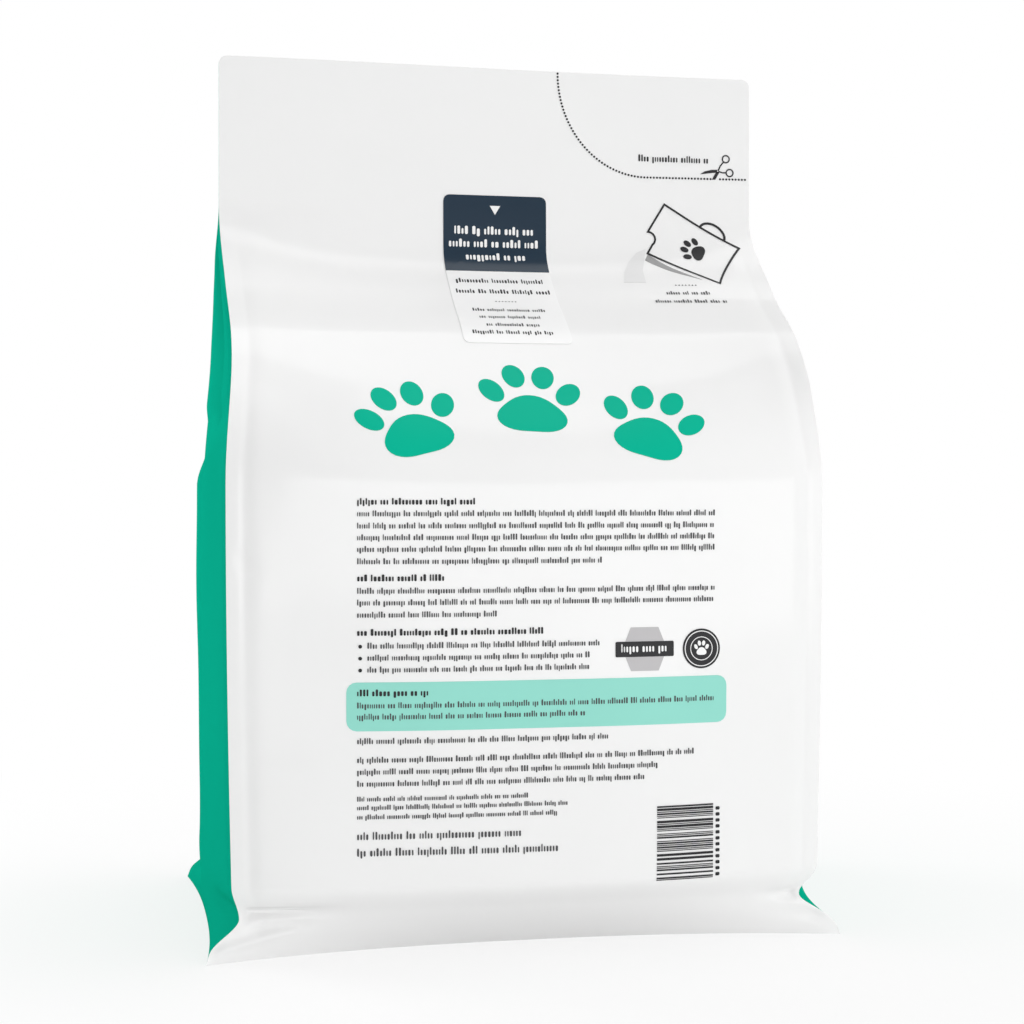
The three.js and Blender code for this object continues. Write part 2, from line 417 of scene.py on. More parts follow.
def make_bag(materials):
    """The whole bag as one closed skin: white panels, green gussets."""
    t = np.linspace(-1, 1, PANEL_COLUMNS + 1)[:-1]
    panel_columns = (1 - EDGE_CROWDING) * t + EDGE_CROWDING * np.sin(np.pi * t / 2)
    s = np.linspace(-1, 1, 2 * GUSSET_HALF_COLUMNS + 1)[:-1]
    gusset_columns = s - CREASE_CROWDING * np.sin(2 * np.pi * s) / (2 * np.pi)
    heights = np.concatenate([np.arange(low, high, step) for low, high, step in RING_STEPS])
    turns = np.linspace(0, math.pi / 2, CORNER_RINGS + 1)
    heights = np.concatenate([heights, HEIGHT - TOP_CORNER_RADIUS * (1 - np.sin(turns))])

    rings = []
    for z in heights:
        panel_x = panel_columns * (edge_width(z) - corner_inset(z))
        level = np.full_like(panel_x, z)
        side_level = np.full_like(gusset_columns, z)
        rings.append(
            np.concatenate(
                [
                    panel_point(panel_x, level, PRINTED),
                    gusset_point(gusset_columns, side_level, RIGHT),
                    panel_point(-panel_x, level, PLAIN),
                    gusset_point(-gusset_columns, side_level, LEFT),
                ]
            )
        )
    count = len(rings[0])
    column_material = np.repeat([0, 1, 0, 1], [len(t), len(s), len(t), len(s)])
    faces, slots = [], []
    for ring in range(len(rings) - 1):
        for i in range(count):
            a, b = ring * count + i, ring * count + (i + 1) % count
            faces.append((a, b, b + count, a + count))
            slots.append(column_material[i])
    top = (len(rings) - 1) * count
    faces.append(tuple(reversed(range(count))))
    faces.append(tuple(range(top, top + count)))
    slots += [0, 0]
    bag = add_object("bag_film", nip(np.concatenate(rings)), faces, materials)
    bag.data.polygons.foreach_set("material_index", slots)
    bag.data.shade_smooth()
    bag.data.set_sharp_from_angle(angle=SHARP_ANGLE)
    return bag


# Flat artwork: outlines in panel millimetres, x to the right and distance below the top edge downwards


def rounded_box(left, top, right, bottom, radius, steps=4):
    corners = (
        (right - radius, top + radius, -90),
        (right - radius, bottom - radius, 0),
        (left + radius, bottom - radius, 90),
        (left + radius, top + radius, 180),
    )
    turns = np.linspace(0, 90, steps + 1)
    return [
        (x + radius * math.cos(math.radians(start + turn)), y + radius * math.sin(math.radians(start + turn)))
        for x, y, start in corners
        for turn in turns
    ]


def ellipse(x, y, half_width, half_height, tilt=0, steps=28):
    angles = np.linspace(0, 2 * math.pi, steps, endpoint=False)
    flat = np.stack([half_width * np.cos(angles), half_height * np.sin(angles)], -1)
    return turned(flat, tilt, (x, y))


def turned(points, tilt, place):
    c, s = math.cos(math.radians(tilt)), math.sin(math.radians(tilt))
    return [(c * x - s * y + place[0], s * x + c * y + place[1]) for x, y in points]


def stroke(points, width, closed=False):
    """Quads that follow a line of points, mitred at its corners."""
    line = np.array(points, float)
    ahead = np.roll(line, -1, 0) - line
    if not closed:
        ahead[-1] = ahead[-2]
    ahead /= np.linalg.norm(ahead, axis=1, keepdims=True)
    behind = np.roll(ahead, 1, 0)
    if not closed:
        behind[0] = ahead[0]
    middle = ahead + behind
    middle /= np.linalg.norm(middle, axis=1, keepdims=True)
    aside = np.stack([-middle[:, 1], middle[:, 0]], -1)
    grow = 1 / np.maximum(0.4, np.sum(middle * ahead, 1))
    offset = aside * (grow * width / 2)[:, None]
    outer, inner = line + offset, line - offset
    pairs = range(len(line) if closed else len(line) - 1)
    return [[inner[i], inner[(i + 1) % len(line)], outer[(i + 1) % len(line)], outer[i]] for i in pairs]


def arc(x, y, radius_x, radius_y, start, end, steps=24):
    turns = np.radians(np.linspace(start, end, steps + 1))
    return [(x + radius_x * math.cos(turn), y + radius_y * math.sin(turn)) for turn in turns]


PRINT_GRID = 2.5


def cut_into_cells(flat):
    """Cuts flat faces on a square grid so that they can follow the film."""
    bmesh.ops.triangulate(flat, faces=[f for f in flat.faces if len(f.verts) > 4])
    low = np.min([v.co for v in flat.verts], 0)
    high = np.max([v.co for v in flat.verts], 0)
    for axis in (0, 1):
        normal = [0, 0, 0]
        normal[axis] = 1
        for place in np.arange(math.ceil(low[axis] / PRINT_GRID), high[axis] / PRINT_GRID) * PRINT_GRID:
            point = [0, 0, 0]
            point[axis] = place
            everything = flat.verts[:] + flat.edges[:] + flat.faces[:]
            bmesh.ops.bisect_plane(flat, geom=everything, dist=1e-4, plane_co=point, plane_no=normal)


def make_print(name, outlines, low, high, material):
    """Outlines become thin closed layers on the printed panel, between two heights above the film."""
    flat = bmesh.new()
    for outline in outlines:
        points = np.array(outline)
        area = np.sum(points[:, 0] * np.roll(points[:, 1], -1) - np.roll(points[:, 0], -1) * points[:, 1])
        if area > 0:
            points = points[::-1]
        flat.faces.new([flat.verts.new((x, -y, 0)) for x, y in points])
    bmesh.ops.remove_doubles(flat, verts=flat.verts[:], dist=1e-3)
    cut_into_cells(flat)
    flat.verts.index_update()
    places = np.array([(v.co.x, -v.co.y) for v in flat.verts])
    count = len(places)
    faces = []
    for face in flat.faces:
        ring = [v.index for v in face.verts]
        faces.append([i + count for i in ring])
        faces.append(ring[::-1])
    for edge in flat.edges:
        if len(edge.link_faces) == 1:
            loop = edge.link_loops[0]
            a, b = loop.vert.index, loop.link_loop_next.vert.index
            faces.append([a, b, b + count, a + count])
    flat.free()
    vertices = np.concatenate([on_panel(places, low), on_panel(places, high)])
    piece = add_object(name, vertices, faces, [material])
    piece.data.shade_smooth()
    piece.data.set_sharp_from_angle(angle=SHARP_ANGLE)
    return piece


# Print: each line of text is a row of small plain blocks
BODY_SIZE = 1.75
HEADING_SIZE = 1.9
HEADING_WEIGHT = 1.5
SMALL_SIZE = 1.45
LARGE_SIZE = 2.3
PICTURE_TEXT_SIZE = 1.9

# Gaps at the body size; the rest are shares of a row's size
BLOCK_GAP = 0.42
WORD_GAP = 1.35
WORD_LENGTHS = (1.6, 2.4, 3.2, 4.0, 5.2, 6.4)
BLOCK_WIDTHS = (0.20, 0.40)
LEAST_ROOM = 0.3
BLOCK_ROUND = 0.14
TALL_PART = 0.42
TALL_CHANCE = 0.25
DEEP_PART = 0.34
DEEP_CHANCE = 0.1


def text_row(rng, left, right, below_top, size, weight=1.0):
    """A row of words, each a run of plain blocks; about one block in four is tall."""
    blocks = []
    x = left
    while x < right - size:
        word_end = min(right, x + size * rng.choice(WORD_LENGTHS))
        while x < word_end - LEAST_ROOM * size:
            width = min(size * rng.uniform(*BLOCK_WIDTHS) * weight, word_end - x)
            tall = size * (TALL_PART if rng.random() < TALL_CHANCE else 0)
            deep = size * (DEEP_PART if tall == 0 and rng.random() < DEEP_CHANCE else 0)
            top, bottom = below_top - size / 2 - tall, below_top + size / 2 + deep
            blocks.append(rounded_box(x, top, x + width, bottom, BLOCK_ROUND * size, 1))
            x += width + BLOCK_GAP * size / BODY_SIZE
        x += (WORD_GAP - BLOCK_GAP) * size / BODY_SIZE
    return blocks


# Text block: (left, right, distance below the top edge)
TEXT_LEFT = -73
TEXT_RIGHT = 74
HEADINGS = ((TEXT_LEFT, -26, 235.9), (TEXT_LEFT, -39, 266), (TEXT_LEFT, 1, 287.4), (TEXT_LEFT, -44, 311.2))
BODY_ROWS = (
    (TEXT_LEFT, TEXT_RIGHT, 240.6),
    (TEXT_LEFT, TEXT_RIGHT, 245.4),
    (TEXT_LEFT, TEXT_RIGHT, 250),
    (TEXT_LEFT, TEXT_RIGHT, 254.6),
    (TEXT_LEFT, 26, 259.4),
    (TEXT_LEFT, TEXT_RIGHT, 271),
    (TEXT_LEFT, TEXT_RIGHT, 275.6),
    (TEXT_LEFT, -17, 280.4),
    (TEXT_LEFT + 4, 25, 292.6),
    (TEXT_LEFT + 4, 21, 297.3),
    (TEXT_LEFT + 4, 21, 302),
    (TEXT_LEFT, TEXT_RIGHT, 316.1),
    (TEXT_LEFT, 19, 320.5),
    (TEXT_LEFT, 28, 330.1),
    (TEXT_LEFT, 65, 337.5),
    (TEXT_LEFT, 50, 342.2),
    (TEXT_LEFT, 43, 346.9),
)
SMALL_ROWS = ((TEXT_LEFT, -5, 352.9), (TEXT_LEFT, 11, 356.3), (TEXT_LEFT, 7, 360))
LARGE_ROWS = ((TEXT_LEFT, -6, 367.7), (TEXT_LEFT, 8, 374.2))
PICTURE_ROWS = ((74.6, 94, 108.2), (68.4, 100, 114.9))
CUT_ROW = (68.4, 102.4, 38)
BULLET_ROWS = (292.6, 297.3, 302)
BULLET_RADIUS = 0.75
BULLET_INDENT = 1.2

TIP_BOX = (-77.2, 306.7, 78.9, 325.9)
TIP_BOX_RADIUS = 4

BADGE_CENTRE = (43.4, 295.3)
BADGE_WIDTH = 19
BADGE_HEIGHT = 17.6
BADGE_SHOULDER = 0.62
BADGE_BAND = (12.4, 3.1)
BADGE_ROW_HALF = 10
BADGE_ROW_SIZE = 2.4
SEAL_CENTRE = (67.8, 295.6)
SEAL_RADIUS = 8.1
# Rings on the seal: (radius, line width, corners)
SEAL_RINGS = ((SEAL_RADIUS - 1.0, 0.35, 48), (4.7, 0.3, 40))
SEAL_PAW_SCALE = 0.15

BARCODE_LEFT = 48.4
BARCODE_RIGHT = 73
BARCODE_TOP = 359
BARCODE_LENGTH = 31.35
BARCODE_MODULES = 95
BAR_MODULES = (1, 1, 2, 3)

# Small blocks beside the bars
FIGURES = 12
FIGURES_START = 1.4
FIGURE_PITCH = 2.45
FIGURE_HEIGHT = 1.35
FIGURE_LEFT = BARCODE_RIGHT + 1.1
FIGURE_RIGHT = BARCODE_RIGHT + 2.9

# Line to cut along, from the top edge to the right edge
CUT_CENTRE = 71.5
CUT_RADIUS_X = 40.8
CUT_DEPTH = 46.4
CUT_TOP_MARGIN = 0.8
CUT_SIDE_MARGIN = 0.7
CUT_END_RISE = 0.4
CUT_DOT = 1.0
CUT_PITCH = 1.5

# Scissors on the cut line; the dots under their blades are left out
SCISSORS_PIVOT = (106.0, 42.4)
SCISSORS_RINGS = ((3.9, -5.6), (5.7, 0.7))
SCISSORS_RING_RADIUS = 1.65
SCISSORS_RIVET_RADIUS = 0.3
SCISSORS_STROKE = 0.6
BLADES_ASIDE = 1.6
BLADES_HALF = 1.7

# Fine dots between two blocks of text
RULE_PITCH = 1.45
RULE_DOT = 0.33

# Paw prints: (x, distance below the top edge, tilt, scale)
PAW_PLACES = ((-50, 199, -16, 1.0), (1, 187, 4, 1.0), (50, 200, 18, 1.0))
PAD_HALF_WIDTH = 13.5
PAD_HALF_HEIGHT = 11
PAD_DROP = 8
TOE_HALF_WIDTH = 4.7
TOE_HALF_HEIGHT = 7
# (x, y, lean)
TOES = ((-16, -5, -28), (-6.2, -14.5, -9), (6.2, -14.5, 9), (16, -5, 28))


def paw(x, y, tilt, scale):
    """A plain paw print: one broad pad and four toes."""
    pad = []
    for turn in np.linspace(0, 2 * math.pi, 40, endpoint=False):
        across, down = math.sin(turn), -math.cos(turn)
        lobes = 1 + 0.09 * math.cos(3 * turn) - 0.05 * math.cos(2 * turn)
        pad_x = scale * PAD_HALF_WIDTH * across * lobes
        pad_y = scale * (PAD_DROP + PAD_HALF_HEIGHT * down * lobes)
        pad.append((pad_x, pad_y))
    shapes = [turned(pad, tilt, (x, y))]
    for toe_x, toe_y, lean in TOES:
        toe = ellipse(scale * toe_x, scale * toe_y, scale * TOE_HALF_WIDTH, scale * TOE_HALF_HEIGHT, lean)
        shapes.append(turned(toe, tilt, (x, y)))
    return shapes


def cut_line_dots():
    """Round dots along the line to cut the pouring spout."""
    curve = arc(CUT_CENTRE, CUT_TOP_MARGIN, CUT_RADIUS_X, CUT_DEPTH - CUT_TOP_MARGIN, 180, 90, 60)
    line = np.array(curve + [(TOP_WIDTH / 2 - CUT_SIDE_MARGIN, CUT_DEPTH - CUT_END_RISE)])
    lengths = np.concatenate([[0], np.cumsum(np.linalg.norm(np.diff(line, axis=0), axis=1))])
    places = np.arange(0, lengths[-1], CUT_PITCH)
    xs, ys = (np.interp(places, lengths, line[:, axis]) for axis in (0, 1))
    under_blade = np.abs(xs - SCISSORS_PIVOT[0] + BLADES_ASIDE) < BLADES_HALF
    centres = np.stack([xs, ys], -1)[~under_blade]
    return [ellipse(x, y, CUT_DOT / 2, CUT_DOT / 2, 0, 10) for x, y in centres]


def scissors():
    """A pair of scissors on the cut line: two blades, two shanks and two finger rings."""
    long_blade = [(-8.5, 1.7), (-6.2, 0.3), (-3, -0.5), (0.4, -0.6), (0.7, 0.5), (-2.6, 0.95), (-6, 1.4)]
    short_blade = [(-2.8, 4.0), (-0.6, 0.2), (0.8, 0.6), (-1.2, 4.0)]
    upper_shank = [(0.3, -0.3), (1.2, -2.3), (2.8, -4.3)]
    lower_shank = [(0.3, 0.1), (2.2, 0.7), (4.1, 0.65)]
    shapes = [turned(blade, 0, SCISSORS_PIVOT) for blade in (long_blade, short_blade)]
    for shank in (upper_shank, lower_shank):
        shapes += stroke(turned(shank, 0, SCISSORS_PIVOT), SCISSORS_STROKE)
    for ring in SCISSORS_RINGS:
        round_line = ellipse(*ring, SCISSORS_RING_RADIUS, SCISSORS_RING_RADIUS, 0, 20)
        shapes += stroke(turned(round_line, 0, SCISSORS_PIVOT), SCISSORS_STROKE, closed=True)
    return shapes


# Picture of a tilted pack that pours from its cut corner
PICTURE_TOP = (80.5, 58.5)
PICTURE_FAR = (114, 78.6)
PICTURE_FOOT = (99.6, 100.5)
PICTURE_LIP = (71.7, 81.5)
PICTURE_END_BOW = (-1.4, -0.4)
PICTURE_BASE_BOW = (0, -1.3)
PICTURE_STROKE = 0.9
PICTURE_SPOUT = (72.4, 74.6)
PICTURE_SPOUT_RADIUS = 3.3
PICTURE_HANDLE = (102.6, 71.6)
PICTURE_HANDLE_SIZE = (6.2, 4.4)
PICTURE_RUN, PICTURE_FALL = np.subtract(PICTURE_FAR, PICTURE_TOP)
PICTURE_TILT = math.degrees(math.atan2(PICTURE_FALL, PICTURE_RUN))
PICTURE_PAW = (93, 80, PICTURE_TILT - 90, 0.27)
PICTURE_RULE = (84.4, 101.9)
PICTURE_SHADE = ((71.7, 81.9), (70.0, 85.0), (80, 91.4), (92.5, 97.4), (81.5, 89.6))
PICTURE_STREAM = (
    (71.0, 79.3), (66.5, 81.2), (62.3, 86), (59.4, 92), (57.6, 99.8), (67.4, 100), (67.9, 91), (69.6, 85.2),
)


def bowed(start, end, bow, steps=8):
    """Points from start to end, eased aside by bow in the middle."""
    share = np.linspace(0, 1, steps + 1)[:, None]
    straight = (1 - share) * np.array(start) + share * np.array(end)
    return [tuple(point) for point in straight + 4 * share * (1 - share) * np.array(bow)]


def pour_picture():
    """The pack's outline with its spout, its handle and a paw, and the rule under it."""
    spout = arc(*PICTURE_SPOUT, PICTURE_SPOUT_RADIUS, PICTURE_SPOUT_RADIUS, 55, -88, 10)
    end = bowed(PICTURE_FAR, PICTURE_FOOT, PICTURE_END_BOW)
    base = bowed(PICTURE_FOOT, PICTURE_LIP, PICTURE_BASE_BOW)
    outline = [PICTURE_TOP, *end, *base[1:], *spout]
    shapes = stroke(outline, PICTURE_STROKE, closed=True)
    handle = turned(arc(0, 0, *PICTURE_HANDLE_SIZE, 180, 360, 14), PICTURE_TILT, PICTURE_HANDLE)
    shapes += stroke(handle, 1.2 * PICTURE_STROKE)
    return shapes + paw(*PICTURE_PAW) + dotted_rule(*PICTURE_RULE)


def dotted_rule(x, y):
    """A short row of fine dots between two blocks of text."""
    return [ellipse(x + RULE_PITCH * place, y, RULE_DOT, RULE_DOT, 0, 8) for place in range(-3, 4)]


def barcode(rng):
    """Made-up bars of one to three modules."""
    module = BARCODE_LENGTH / BARCODE_MODULES
    bars, place = [], 0
    while place < BARCODE_MODULES:
        width = min(rng.choice(BAR_MODULES), BARCODE_MODULES - place)
        top = BARCODE_TOP + place * module
        bars.append([
            (BARCODE_LEFT, top),
            (BARCODE_RIGHT, top),
            (BARCODE_RIGHT, top + width * module),
            (BARCODE_LEFT, top + width * module),
        ])
        place += width + rng.choice(BAR_MODULES)
    for figure in range(FIGURES):
        top = BARCODE_TOP + FIGURES_START + figure * FIGURE_PITCH
        bars.append(rounded_box(FIGURE_LEFT, top, FIGURE_RIGHT, top + FIGURE_HEIGHT, 0.3, 1))
    return bars


def badge_outline():
    """A badge with six corners."""
    x, y = BADGE_CENTRE
    half, tall = BADGE_WIDTH / 2, BADGE_HEIGHT / 2
    shoulder = half * BADGE_SHOULDER
    return [
        (x - shoulder, y - tall),
        (x + shoulder, y - tall),
        (x + half, y),
        (x + shoulder, y + tall),
        (x - shoulder, y + tall),
        (x - half, y),
    ]


def dark_print(rng):
    """Everything on the panel in the darkest ink."""
    shapes = cut_line_dots() + scissors() + pour_picture() + barcode(rng)
    shapes += text_row(rng, *CUT_ROW, LARGE_SIZE)
    for row in HEADINGS:
        shapes += text_row(rng, *row, HEADING_SIZE, HEADING_WEIGHT)
    for below_top in BULLET_ROWS:
        shapes.append(ellipse(TEXT_LEFT + BULLET_INDENT, below_top, BULLET_RADIUS, BULLET_RADIUS, 0, 12))
    x, y = BADGE_CENTRE
    half_width, half_height = BADGE_BAND
    shapes.append(rounded_box(x - half_width, y - half_height, x + half_width, y + half_height, 0.5, 2))
    shapes.append(ellipse(*SEAL_CENTRE, SEAL_RADIUS, SEAL_RADIUS, 0, 48))
    return shapes


def text_print(rng):
    """The lines of small text, in a softer ink than the headings."""
    blocks_of_text = (
        (BODY_ROWS, BODY_SIZE),
        (SMALL_ROWS, SMALL_SIZE),
        (LARGE_ROWS, LARGE_SIZE),
        (PICTURE_ROWS, PICTURE_TEXT_SIZE),
    )
    return [shape for rows, size in blocks_of_text for row in rows for shape in text_row(rng, *row, size)]


def light_print(rng):
    """White details: on the dark badge band, on the round seal, and the rivet of the scissors."""
    x, y = BADGE_CENTRE
    shapes = text_row(rng, x - BADGE_ROW_HALF, x + BADGE_ROW_HALF, y, BADGE_ROW_SIZE)
    for radius, width, corners in SEAL_RINGS:
        shapes += stroke(ellipse(*SEAL_CENTRE, radius, radius, 0, corners), width, closed=True)
    shapes += paw(*SEAL_CENTRE, 0, SEAL_PAW_SCALE)
    shapes.append(ellipse(*SCISSORS_PIVOT, SCISSORS_RIVET_RADIUS, SCISSORS_RIVET_RADIUS, 0, 10))
    return shapes


def sticker_outline(top, bottom, square_bottom=False):
    """The sticker between two distances below the top edge, rounded at its corners."""
    left = STICKER_OFF_CENTRE - STICKER_WIDTH / 2
    right = STICKER_OFF_CENTRE + STICKER_WIDTH / 2
    outline = rounded_box(left, top, right, bottom, STICKER_RADIUS)
    if square_bottom:
        upper = [point for point in outline if point[1] < (top + bottom) / 2]
        turn = len(upper) // 2
        outline = upper[:turn] + [(right, bottom), (left, bottom)] + upper[turn:]
    return outline


STICKER_TOP = STICKER_BELOW_TOP
STICKER_BOTTOM = STICKER_BELOW_TOP + STICKER_LENGTH
STICKER_SPLIT = STICKER_BELOW_TOP + STICKER_DARK_LENGTH

# Arrow on the dark part, from the sticker's top
ARROW_HALF_WIDTH = 2.4
ARROW_TOP = STICKER_TOP + 4.6
ARROW_TIP = STICKER_TOP + 8.6

# Rows on the dark part, from the sticker's top: (half length, distance down)
STICKER_LIGHT_ROWS = ((18.5, 16.2), (21, 22), (13.5, 28.4))
STICKER_LIGHT_SIZE = 2.6
STICKER_LIGHT_WEIGHT = 1.4

# Rows on the light part, from its own top: (half length, distance down, size)
STICKER_DARK_ROWS = (
    (20, 7.4, 2.3),
    (21, 15.6, 2.3),
    (16, 31.4, 1.9),
    (14, 37.8, 1.9),
    (12, 44.6, 1.9),
    (19, 50.6, 1.9),
)
STICKER_RULE = 23.4


def sticker_light_print(rng):
    """White details on the dark part: an arrow that points down and three rows."""
    x = STICKER_OFF_CENTRE
    shapes = [[(x - ARROW_HALF_WIDTH, ARROW_TOP), (x + ARROW_HALF_WIDTH, ARROW_TOP), (x, ARROW_TIP)]]
    for half, below in STICKER_LIGHT_ROWS:
        row = (x - half, x + half, STICKER_TOP + below)
        shapes += text_row(rng, *row, STICKER_LIGHT_SIZE, STICKER_LIGHT_WEIGHT)
    return shapes


def sticker_dark_print(rng):
    """Dark rows and a dotted rule on the light part."""
    x = STICKER_OFF_CENTRE
    shapes = []
    for half, below, size in STICKER_DARK_ROWS:
        shapes += text_row(rng, x - half, x + half, STICKER_SPLIT + below, size)
    return shapes + dotted_rule(x, STICKER_SPLIT + STICKER_RULE)


# Materials: noise scales are in features per metre, bump distances in metres
CLOUD_SCALE = 14
POLISH_SCALE = 60
POLISH_RANGE = (0.85, 1.2)
RIPPLE_SCALE = 28
RIPPLE_STRENGTH = 0.25
RIPPLE_DISTANCE = 0.0004
PEEL_SCALE = 900
PEEL_STRENGTH = 0.05
PEEL_DISTANCE = 0.0001


def film_material(name, color, shade, roughness, gloss):
    """Glossy printed film: slightly uneven in tone and polish, with a fine orange-peel and soft ripples."""
    material = bpy.data.materials.new(name)
    material.use_nodes = True
    nodes, links = material.node_tree.nodes, material.node_tree.links
    bsdf = nodes["Principled BSDF"]
    place = nodes.new("ShaderNodeTexCoord")

    def noise(scale, detail):
        node = nodes.new("ShaderNodeTexNoise")
        node.inputs["Scale"].default_value = scale
        node.inputs["Detail"].default_value = detail
        links.new(place.outputs["Object"], node.inputs["Vector"])
        return node.outputs["Fac"]

    cloud = noise(CLOUD_SCALE, 3)
    tone = nodes.new("ShaderNodeMix")
    tone.data_type = "RGBA"
    tone.inputs["A"].default_value = (*color, 1)
    tone.inputs["B"].default_value = (*[channel * shade for channel in color], 1)
    links.new(cloud, tone.inputs["Factor"])
    links.new(tone.outputs["Result"], bsdf.inputs["Base Color"])

    polish = nodes.new("ShaderNodeMapRange")
    polish.inputs["To Min"].default_value = roughness * POLISH_RANGE[0]
    polish.inputs["To Max"].default_value = roughness * POLISH_RANGE[1]
    links.new(noise(POLISH_SCALE, 4), polish.inputs["Value"])
    links.new(polish.outputs["Result"], bsdf.inputs["Roughness"])

    ripples = nodes.new("ShaderNodeBump")
    ripples.inputs["Strength"].default_value = RIPPLE_STRENGTH
    ripples.inputs["Distance"].default_value = RIPPLE_DISTANCE
    links.new(noise(RIPPLE_SCALE, 1), ripples.inputs["Height"])
    peel = nodes.new("ShaderNodeBump")
    peel.inputs["Strength"].default_value = PEEL_STRENGTH
    peel.inputs["Distance"].default_value = PEEL_DISTANCE
    links.new(noise(PEEL_SCALE, 2), peel.inputs["Height"])
    links.new(ripples.outputs["Normal"], peel.inputs["Normal"])
    links.new(peel.outputs["Normal"], bsdf.inputs["Normal"])
    bsdf.inputs["Specular IOR Level"].default_value = gloss
    return material


# Stage: floor, world and lights, with lengths in metres
WORLD_LIGHT = 0.69
WORLD_SWING = 0.40
WORLD_BRIGHT_SIDE = (0.86, -0.10, -0.50)
FLOOR_SIZE = 8
FLOOR_TONE = 0.95
FLOOR_WHITENESS = 0.75
FLOOR_SHADOW_REACH = 0.16
FLOOR_WHITE_FROM = 0.50

# Camera, fitted to the photo: pixels for the lens and the drop of the view, millimetres for its place
PHOTO_WIDTH = 1024
PHOTO_FOCAL_LENGTH = 1925.9
PHOTO_DROP = 23.1
CAMERA_SENSOR = 36
CAMERA_TURN = math.radians(11.85)
CAMERA_BACK = 865.5
CAMERA_ASIDE = -9.32
CAMERA_HEIGHT = 186.6
CAMERA_PITCH = math.atan(PHOTO_DROP / PHOTO_FOCAL_LENGTH)
CAMERA_LENS = CAMERA_SENSOR * PHOTO_FOCAL_LENGTH / PHOTO_WIDTH


def floor_material():
    """A pale floor that keeps the shadow near the bag and is white further off."""
    material = bpy.data.materials.new("floor_pale")
    material.use_nodes = True
    nodes, links = material.node_tree.nodes, material.node_tree.links
    bsdf = nodes["Principled BSDF"]
    bsdf.inputs["Base Color"].default_value = (FLOOR_TONE, FLOOR_TONE, FLOOR_TONE, 1)
    bsdf.inputs["Roughness"].default_value = 0.7
    bsdf.inputs["Specular IOR Level"].default_value = 0.1
    place = nodes.new("ShaderNodeTexCoord")
    distance = nodes.new("ShaderNodeVectorMath")
    distance.operation = "LENGTH"
    links.new(place.outputs["Object"], distance.inputs[0])
    far = nodes.new("ShaderNodeMapRange")
    far.interpolation_type = "SMOOTHSTEP"
    far.inputs["From Min"].default_value = FLOOR_SHADOW_REACH
    far.inputs["From Max"].default_value = FLOOR_WHITE_FROM
    far.inputs["To Min"].default_value = FLOOR_WHITENESS
    links.new(distance.outputs["Value"], far.inputs["Value"])
    seen = seen_rays(nodes, links)
    amount = nodes.new("ShaderNodeMath")
    amount.operation = "MULTIPLY"
    links.new(far.outputs["Result"], amount.inputs[0])
    links.new(seen, amount.inputs[1])
    white = nodes.new("ShaderNodeEmission")
    mix = nodes.new("ShaderNodeMixShader")
    links.new(amount.outputs["Value"], mix.inputs["Fac"])
    links.new(bsdf.outputs["BSDF"], mix.inputs[1])
    links.new(white.outputs["Emission"], mix.inputs[2])
    links.new(mix.outputs["Shader"], nodes["Material Output"].inputs["Surface"])
    return material


def seen_rays(nodes, links):
    """1 for rays that show the background: from the camera, in a reflection or through something clear."""
    path = nodes.new("ShaderNodeLightPath")
    either = path.outputs["Is Camera Ray"]
    for other in ("Is Glossy Ray", "Is Transmission Ray"):
        both = nodes.new("ShaderNodeMath")
        both.operation = "MAXIMUM"
        links.new(either, both.inputs[0])
        links.new(path.outputs[other], both.inputs[1])
        either = both.outputs["Value"]
    return either


def make_floor():
    half = FLOOR_SIZE / 2 / MM
    corners = [(-half, -half, 0), (half, -half, 0), (half, half, 0), (-half, half, 0)]
    floor = add_object("floor", corners, [(0, 1, 2, 3)], [floor_material()])


def make_world():
    """White where it is seen; as a light it is stronger from its bright side."""
    world = bpy.data.worlds.new("studio")
    bpy.context.scene.world = world
    world.use_nodes = True
    nodes, links = world.node_tree.nodes, world.node_tree.links
    background = nodes["Background"]
    direction = nodes.new("ShaderNodeTexCoord")
    towards_bright = nodes.new("ShaderNodeVectorMath")
    towards_bright.operation = "DOT_PRODUCT"
    towards_bright.inputs[1].default_value = WORLD_BRIGHT_SIDE
    links.new(direction.outputs["Generated"], towards_bright.inputs[0])
    studio = nodes.new("ShaderNodeMapRange")
    studio.inputs["From Min"].default_value = -1
    studio.inputs["To Min"].default_value = WORLD_LIGHT - WORLD_SWING
    studio.inputs["To Max"].default_value = WORLD_LIGHT + WORLD_SWING
    links.new(towards_bright.outputs["Value"], studio.inputs["Value"])
    strength = nodes.new("ShaderNodeMapRange")
    strength.inputs["To Max"].default_value = 1
    links.new(studio.outputs["Result"], strength.inputs["To Min"])
    links.new(seen_rays(nodes, links), strength.inputs["Value"])
    background.inputs["Color"].default_value = (1, 1, 1, 1)
    links.new(strength.outputs["Result"], background.inputs["Strength"])


def make_softbox(name, place, aim, size, watts):
    light = bpy.data.lights.new(name, "AREA")
    light.shape = "RECTANGLE"
    light.size, light.size_y = size
    light.energy = watts
    lamp = bpy.data.objects.new(name, light)
    lamp.location = place
    lamp.rotation_euler = (Vector(aim) - Vector(place)).to_track_quat("-Z", "Y").to_euler()
    bpy.context.scene.collection.objects.link(lamp)


def make_camera():
    data = bpy.data.cameras.new("camera")
    data.sensor_width = CAMERA_SENSOR
    data.lens = CAMERA_LENS
    camera = bpy.data.objects.new("camera", data)
    c, s = math.cos(CAMERA_TURN), math.sin(CAMERA_TURN)
    camera.location = Vector((
        -CAMERA_BACK * s - CAMERA_ASIDE * c,
        -CAMERA_BACK * c + CAMERA_ASIDE * s,
        CAMERA_HEIGHT,
    )) * MM
    camera.rotation_euler = (math.pi / 2 - CAMERA_PITCH, 0, -CAMERA_TURN)
    bpy.context.scene.collection.objects.link(camera)
    bpy.context.scene.camera = camera


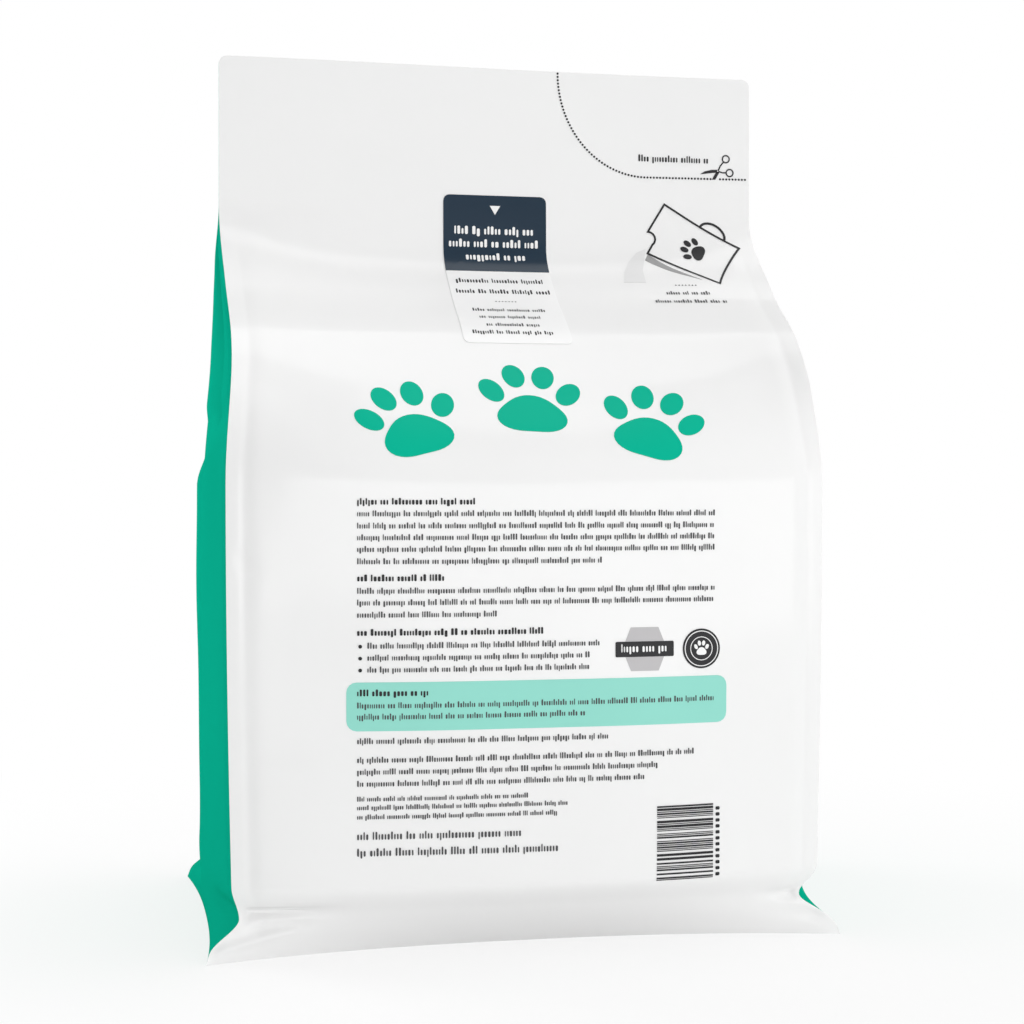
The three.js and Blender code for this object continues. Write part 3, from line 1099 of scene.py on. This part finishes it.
# Colours of the film, the inks and the label
FILM_WHITE = (0.86, 0.86, 0.858)
LABEL_WHITE = (0.88, 0.88, 0.88)
EMERALD = (0.003, 0.46, 0.30)
MINT = (0.29, 0.70, 0.60)
BADGE_GREY = (0.50, 0.49, 0.50)
SHADE_GREY = (0.33, 0.33, 0.33)
STREAM_GREY = (0.76, 0.76, 0.76)
INK_DARK = (0.035, 0.035, 0.037)
INK_SOFT = (0.085, 0.085, 0.09)
SLATE = (0.010, 0.028, 0.051)

# name, colour, shade of its darker patches, roughness, gloss
white_film = film_material("white_film", FILM_WHITE, 0.985, 0.13, 0.22)
green_film = film_material("green_film", EMERALD, 0.93, 0.40, 0.0)
green_ink = film_material("green_ink", EMERALD, 0.94, 0.30, 0.03)
mint_ink = film_material("mint_ink", MINT, 0.96, 0.30, 0.15)
grey_ink = film_material("grey_ink", BADGE_GREY, 0.95, 0.30, 0.2)
shade_ink = film_material("shade_ink", SHADE_GREY, 0.95, 0.30, 0.2)
pale_ink = film_material("pale_ink", STREAM_GREY, 0.97, 0.30, 0.3)
dark_ink = film_material("dark_ink", INK_DARK, 0.85, 0.34, 0.1)
soft_ink = film_material("soft_ink", INK_SOFT, 0.85, 0.34, 0.1)
white_ink = film_material("white_ink", FILM_WHITE, 0.97, 0.30, 0.4)
label_film = film_material("label_film", LABEL_WHITE, 0.975, 0.32, 0.4)
slate_ink = film_material("slate_ink", SLATE, 0.9, 0.20, 0.2)

# Layers above the film, in millimetres: low and high side of each
FIRST_LAYER = (0.03, 0.14)
SECOND_LAYER = (0.15, 0.24)
THIRD_LAYER = (0.25, 0.33)
LABEL_LAYER = (0.03, 0.34)
LABEL_FIELD_LAYER = (0.36, 0.44)
LABEL_TEXT_LAYER = (0.46, 0.56)

# Everything on the bag rides on its one body
rng = random.Random(7)
bag = make_bag([white_film, green_film])
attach(bag, "root")
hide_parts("bag")

green_shapes = [shape for place in PAW_PLACES for shape in paw(*place)]
tip_box = [rounded_box(*TIP_BOX, TIP_BOX_RADIUS)]
film_prints = (
    ("print_green", green_shapes, FIRST_LAYER, green_ink),
    ("print_mint", tip_box, FIRST_LAYER, mint_ink),
    ("print_grey", [badge_outline()], FIRST_LAYER, grey_ink),
    ("print_shade", [PICTURE_SHADE], FIRST_LAYER, shade_ink),
    ("print_pale", [PICTURE_STREAM], FIRST_LAYER, pale_ink),
    ("print_dark", dark_print(rng), SECOND_LAYER, dark_ink),
    ("print_text", text_print(rng), SECOND_LAYER, soft_ink),
    ("print_white", light_print(rng), THIRD_LAYER, white_ink),
)
for name, shapes, (low, high), material in film_prints:
    layer = make_print(name, shapes, low, high, material)
    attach(layer, "root")

label = make_print("sticker_label", [sticker_outline(STICKER_TOP, STICKER_BOTTOM)], *LABEL_LAYER, label_film)
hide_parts("reseal_sticker")
dark_field = [sticker_outline(STICKER_TOP, STICKER_SPLIT, square_bottom=True)]
label_prints = (
    label,
    make_print("sticker_dark_field", dark_field, *LABEL_FIELD_LAYER, slate_ink),
    make_print("sticker_light_print", sticker_light_print(rng), *LABEL_TEXT_LAYER, white_ink),
    make_print("sticker_dark_print", sticker_dark_print(rng), *LABEL_FIELD_LAYER, dark_ink),
)
for piece in label_prints:
    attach(piece, "root")

make_floor()
make_world()
# name, place, aim, size, watts
make_softbox("key_right", (0.30, -1.25, 0.21), (0, 0, 0.15), (1.7, 0.38), 5.7)
make_softbox("top", (0.20, -0.015, 1.25), (0.20, -0.015, 0), (1.2, 0.47), 3.7)
make_softbox("rim_left", (-0.95, 0.75, 0.60), (-0.1, 0, 0.2), (0.6, 0.8), 6.5)
make_softbox("fill_back", (0.6, 1.2, 0.5), (0, 0, 0.2), (0.9, 0.7), 1.2)
make_camera()
bpy.context.scene.view_settings.view_transform = "Standard"
